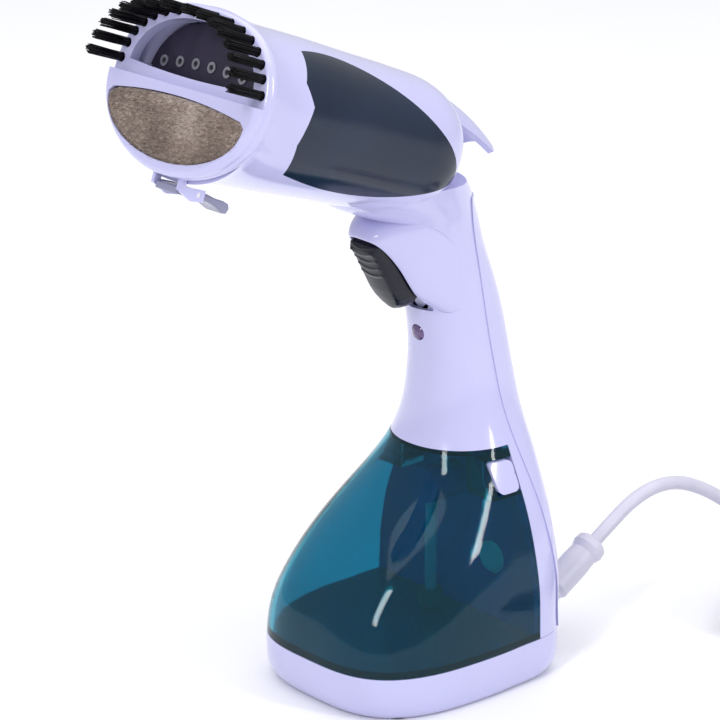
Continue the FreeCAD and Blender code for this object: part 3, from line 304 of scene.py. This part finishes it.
WHITE = (0.52, 0.515, 0.79)
MATERIALS = {
    "white_shell": surface("white_shell", WHITE, 0.14, 0.05, 0.02, 18, 0.05, 900, 0.00003,
                           Coat_Weight=0.5, Coat_Roughness=0.04),
    "navy_panel": surface("navy_panel", (0.007, 0.016, 0.036), 0.12, 0.05, 0.25, 22, 0.04, 700,
                          0.00003, IOR=1.4),
    "tank_blue": surface("tank_blue", (0.015, 0.37, 0.50), 0.04, 0.03, 0.04, 16, 0.05, 260,
                         0.00006, Transmission_Weight=0.96, IOR=1.32),
    # Painted shade: tank_back is a darker, opaque copy of the tank's blue, standing in for the
    # shade deep inside the tank.
    "tank_back": surface("tank_back", (0.04, 0.09, 0.38), 0.2, 0.06, 0.15, 20, 0.08, 420,
                         0.00006, IOR=1.32),
    "trigger_black": surface("trigger_black", (0.004, 0.005, 0.012), 0.2, 0.08, 0.3, 70, 0.12,
                             2200, 0.00004, IOR=1.4),
    "charcoal": surface("charcoal", (0.026, 0.021, 0.045), 0.36, 0.14, 0.25, 90, 0.3, 1500,
                        0.00006, IOR=1.4),
    "steel": surface("steel", (0.66, 0.66, 0.68), 0.22, 0.12, 0.08, 240, 0.2, 1400, 0.00003,
                     Metallic=1.0),
    "aluminium_cast": surface("aluminium_cast", (0.70, 0.70, 0.72), 0.42, 0.15, 0.1, 120, 0.5,
                              700, 0.0001, Metallic=1.0),
    "rubber_grey": surface("rubber_grey", (0.07, 0.07, 0.08), 0.62, 0.15, 0.2, 160, 0.5, 1600,
                           0.00008),
    "silicone": surface("silicone", (0.72, 0.72, 0.70), 0.45, 0.1, 0.06, 90, 0.2, 900, 0.00005,
                        Subsurface_Weight=0.2, Subsurface_Scale=0.003),
    "silicone_red": surface("silicone_red", (0.42, 0.05, 0.03), 0.5, 0.1, 0.12, 110, 0.25, 900,
                            0.00005),
    "bristle_black": surface("bristle_black", (0.002, 0.002, 0.003), 0.34, 0.14, 0.4, 700, 0.2,
                             3000, 0.00004, IOR=1.3),
    "pad_pile": pile_material(),
    "cord_grey": surface("cord_grey", (0.55, 0.54, 0.64), 0.36, 0.12, 0.05, 60, 0.2, 1300,
                         0.00005, Coat_Weight=0.12, Coat_Roughness=0.3),
    "lens_violet": surface("lens_violet", (0.16, 0.09, 0.26), 0.14, 0.06, 0.2, 260, 0.1, 900,
                           0.00005, Transmission_Weight=0.35, Coat_Weight=0.8),
    "black_plastic": surface("black_plastic", (0.018, 0.018, 0.02), 0.42, 0.12, 0.25, 110, 0.4,
                             1600, 0.00006),
    "eyelet_grey": surface("eyelet_grey", (0.30, 0.30, 0.34), 0.34, 0.12, 0.1, 400, 0.3, 1800,
                           0.00003, Metallic=0.6),
    "latch_grey": surface("latch_grey", (0.26, 0.26, 0.38), 0.22, 0.08, 0.05, 40, 0.08, 1200,
                          0.00003),
    "strap_black": surface("strap_black", (0.016, 0.016, 0.018), 0.75, 0.15, 0.3, 320, 0.9, 1500,
                           0.0003, Sheen_Weight=0.3),
    "brass": surface("brass", (0.72, 0.50, 0.20), 0.24, 0.12, 0.1, 180, 0.2, 1200, 0.00004,
                     Metallic=1.0),
    "ceramic_white": surface("ceramic_white", (0.80, 0.78, 0.73), 0.5, 0.12, 0.06, 140, 0.3,
                             1400, 0.00006),
    "clear_tube": surface("clear_tube", (0.62, 0.70, 0.76), 0.18, 0.08, 0.05, 80, 0.1, 700,
                          0.00004, Transmission_Weight=0.5),
    "wire_blue": surface("wire_blue", (0.72, 0.71, 0.69), 0.6, 0.12, 0.12, 900, 0.6, 2600,
                         0.0001),
}
# Nodes that take another finish than their slot's own.
# The tank's back wall takes tank_back, a darker copy of the tank's blue that paints the shade
# inside the tank.
NODE_FINISH = {"tank_back_wall": "tank_back", "nozzle_eyelets": "eyelet_grey"}


def finish_nodes():
    for row in frame["record"]["subparts"]:
        finish = NODE_FINISH.get(row["node"], row["material_slot"])
        materials = nodes[row["node"]].data.materials
        materials.clear()
        materials.append(MATERIALS[finish])


# ---------------------------------------------------------------- stage

FLOOR_HALF = 6.0
FLOOR_DROP = 0.0002


def add_floor():
    half = FLOOR_HALF
    corners = [(-half, -half, 0), (half, -half, 0), (half, half, 0), (-half, half, 0)]
    data = bpy.data.meshes.new("floor")
    data.from_pydata(corners, [], [(0, 1, 2, 3)])
    floor = bpy.data.objects.new("floor", data)
    floor.location.z = -FLOOR_DROP
    bpy.context.scene.collection.objects.link(floor)
    floor.data.materials.append(surface("floor_paper", (0.9, 0.9, 0.92), 0.7, 0.1, 0.01, 3,
                                        0.05, 200, 0.0001))


def add_light(name, place_at, aim_at, width, height, power):
    data = bpy.data.lights.new(name, "AREA")
    data.shape = "RECTANGLE"
    data.size, data.size_y, data.energy = width, height, power
    light = bpy.data.objects.new(name, data)
    light.location = place_at
    light.rotation_mode = "QUATERNION"
    light.rotation_quaternion = (Vector(aim_at) - Vector(place_at)).to_track_quat("-Z", "Y")
    bpy.context.scene.collection.objects.link(light)


def add_studio():
    world = bpy.data.worlds.new("studio")
    world.use_nodes = True
    background = world.node_tree.nodes["Background"]
    background.inputs["Color"].default_value = (0.95, 0.96, 1.0, 1)
    background.inputs["Strength"].default_value = 0.62
    bpy.context.scene.world = world
    middle = (0, 0, 0.15)
    add_light("key", (0.5, -1.5, 1.3), middle, 0.26, 0.8, 11)
    add_light("strip", (1.5, 0.5, 0.9), middle, 0.14, 0.8, 8)
    add_light("overhead", (-0.3, 0.2, 2.4), middle, 3.0, 3.0, 42)
    bpy.context.scene.view_settings.view_transform = "Standard"


add_floor()
add_studio()


# ---------------------------------------------------------------- bristles and lint pad

TUFTS, FILAMENTS = 16, 44
TUFT_ARCH = (41.2, 29.6, 0.8)  # half-width, rise and squareness of the arch of tufts
TUFT_REACH = 1.62
TUFT_BACK = (1.2, -18.0)  # root and tip, behind the nozzle's face
FILAMENT_RADIUS = 0.24
SPIRAL = 2.39996


def tuft_places():
    """Roots of the tufts: across and above, along the arch over the window."""
    half, rise, square = TUFT_ARCH
    places = []
    for step in range(TUFTS):
        angle = math.radians(8 + step * 164 / (TUFTS - 1))
        c, s = math.cos(angle), math.sin(angle)
        places.append((half * math.copysign(abs(c) ** square, c), rise * abs(s) ** square))
    return places


def filament(root, tip, bow, radius):
    """A thin five-sided bristle from root to tip, bowed on the way."""
    rings = []
    side = (tip - root).orthogonal().normalized()
    other = (tip - root).normalized().cross(side)
    for step in range(5):
        share = step / 4
        centre = root.lerp(tip, share) + bow * math.sin(share * math.pi * 0.5)
        thick = radius * (1 - 0.25 * share ** 2)
        rings.append([centre + (side * math.cos(a) + other * math.sin(a)) * thick
                      for a in (step * 0.4 + corner * math.tau / 5 for corner in range(5))])
    return loft(rings)


def add_bristles():
    chance = random.Random(11)
    parts = []
    for x, up in tuft_places():
        outward = Vector((x, 0, up)).normalized()
        for index in range(FILAMENTS):
            reach = TUFT_REACH * math.sqrt((index + 0.5) / FILAMENTS)
            angle = index * SPIRAL
            dx, dup = reach * math.cos(angle), reach * math.sin(angle)
            length = TUFT_BACK[1] + chance.uniform(0, 1.5) + 0.35 * reach
            lean = Vector((chance.gauss(0, 0.16), 0, chance.gauss(0, 0.16)))
            tip = Vector((x + dx * 1.12, length, up + dup * 1.12)) + lean + outward * 0.5
            bow = HEAD.to_3x3() @ (outward * chance.uniform(-0.3, 0.1) * MM)
            root = in_head(x + dx, TUFT_BACK[0], up + dup)
            parts.append(filament(root, in_head(*tip), bow, FILAMENT_RADIUS * MM))
    bristles = add_mesh("bristles", *gather(parts), "brush")
    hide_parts("bristle_tufts")
    bristles.data.materials.append(MATERIALS["bristle_black"])


PAD_HALF, PAD_SIDE = 39.2, 39.0
PAD_COLUMNS, PAD_ROWS = 72, 22
TIP_SPACING = 0.72


def pad_span(x):
    """Lower and upper edge of the half-moon pad at that place across."""
    share = min(1.0, abs(x) / PAD_HALF)
    low = -7.0 - 19.8 * math.sqrt(1 - share ** 2)
    top = -2.5 - 2.6 * share ** 2 - 1.9 * max(0.0, share - 0.88) / 0.12
    return low, top


def pad_back(x, up):
    """How far the pad's foam stands out there: crowned, and drawn in at its rim."""
    low, top = pad_span(x)
    edge = min(up - low, top - up, (PAD_HALF - abs(x)) * 1.3)
    edge = min(1.0, max(0.0, edge / 4.5))
    crown = 1 - 0.55 * (x / PAD_HALF) ** 2 - 0.35 * ((up + 14) / 13) ** 2
    return -2.7 - 1.5 * math.sqrt(1 - (1 - edge) ** 2) - 0.7 * edge * crown


def pad_skin():
    """The pad's crowned foam, a little uneven."""
    vertices, faces = [], []
    for column in range(PAD_COLUMNS + 1):
        x = PAD_SIDE * math.sin((column / PAD_COLUMNS - 0.5) * math.pi * 0.995)
        low, top = pad_span(x)
        for row in range(PAD_ROWS + 1):
            up = low + (top - low) * row / PAD_ROWS
            back = pad_back(x, up) - 0.16 * noise.noise(Vector((x, up, 3)) * 0.9)
            vertices.append(in_head(x, back, up))
    for column in range(PAD_COLUMNS):
        for row in range(PAD_ROWS):
            corner = column * (PAD_ROWS + 1) + row
            after = corner + PAD_ROWS + 1
            faces.append((corner, corner + 1, after + 1, after))
    return vertices, faces


def add_pad():
    chance = random.Random(5)
    parts = [pad_skin()]
    for column in range(round(2 * PAD_SIDE / TIP_SPACING)):
        for row in range(round(26 / TIP_SPACING)):
            x = -PAD_SIDE + TIP_SPACING * (column + 0.5 * (row % 2)) + chance.uniform(-0.22, 0.22)
            up = -27 + TIP_SPACING * row + chance.uniform(-0.22, 0.22)
            if abs(x) < PAD_SIDE:
                low, top = pad_span(x)
                if low + 0.1 < up < top - 0.1:
                    parts.append(pile_tip(x, up, chance))
    pad = add_mesh("lint_pile", *gather(parts), "brush")
    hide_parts("lint_pad")
    pad.data.materials.append(MATERIALS["pad_pile"])


def pile_tip(x, up, chance):
    """One leaning tip of the pile, a small four-sided spike."""
    back = pad_back(x, up)
    wide = chance.uniform(0.3, 0.42)
    tall = chance.uniform(0.9, 1.5)
    lean = 0.55 + 0.3 * noise.noise(Vector((x, up, 9)) * 0.16)
    swing = chance.gauss(0, 0.22)
    tip = in_head(x + tall * (lean * 0.75 + swing), back - tall, up - tall * (lean + swing))
    base = [in_head(x + dx * wide, back + 0.25, up + dup * wide)
            for dx, dup in ((1, 0), (0, 1), (-1, 0), (0, -1))]
    return base + [tip], [(0, 1, 4), (1, 2, 4), (2, 3, 4), (3, 0, 4)]


# ---------------------------------------------------------------- trigger and its hood

# Front edge, back edge and half-width of the trigger blade at each height, from the toe up.
BLADE = [(159.2, -7.0, -4.4, 0.8), (160.0, -8.2, -2.6, 3.4), (162.0, -9.8, -1.2, 5.9),
         (165.0, -12.0, 0.2, 7.4), (168.7, -14.4, 1.4, 7.9), (174.8, -17.7, 2.0, 8.0),
         (182.8, -22.0, 2.3, 8.0), (186.8, -24.9, 2.5, 8.0), (189.4, -24.6, 2.6, 8.0),
         (190.5, -22.8, 2.6, 7.4)]
RIB_SPACING = 3.3
RIB_SPAN = (174.5, 188.3)
BLADE_CORNER = 2.0


def between(table, height):
    """The table's row at that height, on straight lines between its rows."""
    for low, high in zip(table, table[1:]):
        if height <= high[0]:
            share = (height - low[0]) / (high[0] - low[0])
            return [a + (b - a) * share for a, b in zip(low, high)]
    return list(table[-1])


def rib(x, height):
    """Height of the curved finger ribs in the upper half of the blade."""
    arch = height - 0.035 * x * x
    if not RIB_SPAN[0] < arch < RIB_SPAN[1] or abs(x) > 6.6:
        return 0.0
    return 0.55 * max(0.0, math.sin((arch - RIB_SPAN[0]) * math.tau / RIB_SPACING))


def add_trigger():
    across = [-1 + 2 * step / 24 for step in range(25)]
    rings = []
    for step in range(91):
        height = 159.2 + 31.3 * step / 90
        _, front, back, half = between(BLADE, height)
        ring = []
        for share in across:
            x = half * share
            corner = max(0.0, abs(x) - (half - BLADE_CORNER)) / BLADE_CORNER
            drawn = BLADE_CORNER * (1 - math.sqrt(max(0.0, 1 - corner ** 2)))
            drawn *= min(1.0, half / 4)
            y = min(front + drawn + 0.9 * share ** 2 - rib(x, height), back - 0.4)
            ring.append(Vector((x, y, height)) * MM)
        ring += [Vector((half, back, height)) * MM, Vector((-half, back, height)) * MM]
        rings.append(ring)
    blade = add_mesh("trigger_blade", *loft(rings), "trigger")
    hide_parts("trigger")
    blade.data.materials.append(MATERIALS["trigger_black"])
    sharpen(blade, 50)


def sharpen(piece, degrees):
    """Keeps the folds of a piece crisp where its faces meet at more than that angle."""
    sharp = bmesh.new()
    sharp.from_mesh(piece.data)
    for edge in sharp.edges:
        if len(edge.link_faces) == 2 and edge.calc_face_angle() > math.radians(degrees):
            edge.smooth = False
    sharp.to_mesh(piece.data)
    sharp.free()


# Lip, root on the housing and inner back corner of the hood, up one side to its middle.
HOOD = [((9.0, 8.2, 158.5), (15.6, 16.8, 157.0), (8.7, 10.5, 159.5)),
        ((9.0, 2.4, 161.8), (16.3, 17.4, 160.6), (8.7, 9.5, 162.5)),
        ((9.0, -3.2, 166.0), (16.9, 18.0, 165.0), (8.7, 8.0, 166.5)),
        ((8.9, -7.2, 171.8), (17.3, 17.9, 171.5), (8.7, 6.0, 172.0)),
        ((8.9, -11.3, 178.2), (17.6, 17.2, 178.8), (8.7, 4.0, 179.0)),
        ((8.9, -16.9, 184.7), (17.9, 13.6, 187.0), (8.7, 0.0, 187.0)),
        ((8.6, -22.2, 189.8), (18.6, -0.6, 198.0), (8.6, -8.0, 194.0)),
        ((6.4, -24.6, 191.6), (12.6, -12.0, 200.5), (6.6, -10.0, 195.5)),
        ((0.0, -25.2, 192.0), (0.0, -18.5, 201.5), (0.0, -10.0, 196.0))]


HOOD_MIDDLE = Vector((0, 12, 186))
HOOD_BULGE = 2.6


def hood_section(lip, root, corner):
    """A closed section of the hood: over its bulged outside and back along its inside."""
    lip, root, corner = Vector(lip), Vector(root), Vector(corner)
    outward = ((lip + root) / 2 - HOOD_MIDDLE).normalized()
    edge = lip + outward * 0.9
    skin = [edge.lerp(root, share) + outward * HOOD_BULGE * math.sin(math.pi * share) ** 0.8
            for share in (0.0, 0.12, 0.3, 0.5, 0.7, 0.88, 1.0)]
    return [point * MM for point in [lip] + skin + [corner, corner.lerp(lip, 0.5)]]


def add_hood():
    right = [hood_section(*row) for row in HOOD]
    left = [[Vector((-point.x, point.y, point.z)) for point in ring] for ring in right[-2::-1]]
    hood = add_mesh("trigger_hood", *loft(right + left), "root")
    hood.data.materials.append(MATERIALS["white_shell"])
    subdivide(hood, 2)


# ---------------------------------------------------------------- latch, strap and plug

LATCH_OUTLINE = [(1.0, -34.6), (6.0, -34.2), (11.0, -34.0), (17.0, -34.9), (22.0, -36.0),
                 (27.0, -36.4), (30.2, -37.2), (31.2, -39.0), (30.2, -41.0), (27.4, -41.2),
                 (23.0, -39.2), (18.0, -37.9), (12.0, -38.0), (6.0, -37.4), (1.0, -37.2)]


# Places across the lever, and how far its outline is drawn in there.
LATCH_SECTIONS = [(-6.0, 0.5), (-5.4, 0.12), (-4.8, 0), (0, 0), (4.8, 0), (5.4, 0.12), (6.0, 0.5)]


def add_latch():
    rings = []
    for x, inset in LATCH_SECTIONS:
        ring = []
        for back, up in LATCH_OUTLINE:
            lean = Vector((16 - back, 0, -37 - up)).normalized() * inset
            narrow = 1 - 0.25 * max(0.0, (back - 20) / 11)
            ring.append(in_head(x * narrow, back + lean.x, up + lean.z))
        rings.append(ring)
    lever = add_mesh("latch_lever", *loft(rings), "latch")
    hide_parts("brush_latch")
    lever.data.materials.append(MATERIALS["latch_grey"])
    bevel = lever.modifiers.new("bevel", "BEVEL")
    bevel.width, bevel.segments, bevel.limit_method = 0.0004, 3, "ANGLE"


STRAP_HALF, STRAP_TOP = 7.7, 26.6
# Corners of the strap's section: 0 on its outside or 1 on its inside, and place along it.
STRAP_SECTION = [(0, -4.5), (0, -4.0), (0, 0), (0, 4.0), (0, 4.5), (1, 4.5), (1, 4.0), (1, 0),
                 (1, -4.0), (1, -4.5)]


def add_strap():
    """A closed strap round one side of the coil, a little clear of the turns."""
    angle = math.radians(-120)
    out = Vector((math.cos(angle), math.sin(angle), 0))
    along = Vector((-math.sin(angle), math.cos(angle), 0))
    rings = []
    for step in range(64):
        turn = math.tau * step / 64
        c, s = math.cos(turn), math.sin(turn)
        across = math.copysign(abs(c) ** 0.42, c)
        rise = math.copysign(abs(s) ** 0.36, s)
        ring = []
        for depth, side in STRAP_SECTION:
            half = STRAP_HALF - 0.9 * depth
            low, high = 0.02 + 0.16 * depth, STRAP_TOP - 0.85 * depth
            height = (low + high) / 2 + (high - low) / 2 * rise
            ring.append((COIL_CENTRE + out * (COIL_MEAN + half * across) + along * side
                         + Vector((0, 0, height))) * MM)
        rings.append(ring)
    strap = add_mesh("cord_strap", *loft(rings, wrap=True), "root")
    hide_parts("cord_tie")
    strap.data.materials.append(MATERIALS["strap_black"])
    sharpen(strap, 40)


# Place along the plug, half-width, half-height and squareness of its sections.
PLUG = [(92.0, 11.6, 7.2, 5), (92.5, 12.6, 8.1, 5), (93.4, 13.0, 8.5, 5), (99.0, 13.0, 8.5, 5),
        (102.0, 12.5, 8.2, 5), (105.0, 12.1, 8.0, 5), (108.0, 12.4, 8.2, 4.6),
        (110.2, 11.8, 7.9, 4), (111.6, 9.6, 7.0, 3), (112.6, 6.6, 5.8, 2.4), (113.4, 5.0, 5.0, 2)]


PLUG_ACROSS, PLUG_LEVEL = 125.2, 8.5


def add_plug():
    sections = list(PLUG)
    for step in range(20):
        wide = 4.9 - 0.03 * step if step % 4 < 2 else 4.1 - 0.02 * step
        sections.append((113.8 + step * 0.52, wide, wide, 2))
    sections.append((124.0, 3.7, 3.7, 2))
    rings = []
    for y, wide, tall, square in sections:
        ring = []
        for step in range(48):
            c, s = math.cos(math.tau * step / 48), math.sin(math.tau * step / 48)
            x = PLUG_ACROSS + wide * math.copysign(abs(c) ** (2 / square), c)
            z = PLUG_LEVEL + tall * math.copysign(abs(s) ** (2 / square), s)
            ring.append(Vector((x, y, z)) * MM)
        rings.append(ring)
    plug = add_mesh("plug_grip", *loft(rings), "root")
    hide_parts("plug_body")
    plug.data.materials.append(MATERIALS["cord_grey"])
    sharpen(plug, 60)


add_bristles()
add_pad()
add_trigger()
add_hood()
add_latch()
add_strap()
add_plug()


# ---------------------------------------------------------------- finishes

finish_nodes()
lead.data.materials.append(MATERIALS["cord_grey"])
